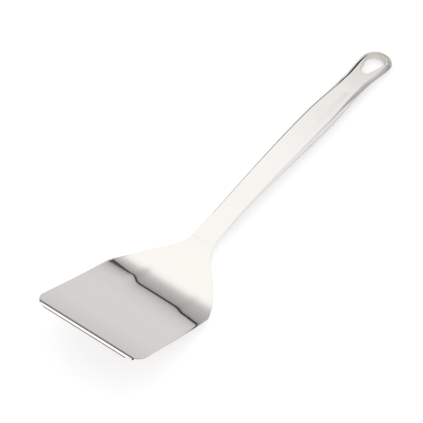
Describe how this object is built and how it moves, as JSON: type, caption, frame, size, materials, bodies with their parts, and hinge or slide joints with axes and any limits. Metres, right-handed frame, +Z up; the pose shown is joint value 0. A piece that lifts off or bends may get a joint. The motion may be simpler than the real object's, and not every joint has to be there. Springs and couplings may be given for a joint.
{
  "type": "turner",
  "caption": "All-steel kitchen turner with a thin bevelled blade, a tapering cranked shoulder, and a hollow dished handle that ends in a hanging loop.",
  "frame": {"origin": "bottom centre of the bounding box, with the turner lying on the outside of its bend and on the underside of its handle", "axes": "+X from the blade's front edge towards the hanging loop, +Y across the blade, +Z up, away from the surface it lies on"},
  "size_m": [0.3574, 0.0892, 0.0444],
  "materials": {
    "blade_steel": "polished stainless steel sheet",
    "handle_steel": "mirror-polished stainless steel"
  },
  "bodies": {
    "root": {"blade": "blade_steel", "handle_top_shell": "handle_steel", "handle_under_shell": "handle_steel", "hang_hole_sleeve": "handle_steel"}
  },
  "joints": []
}
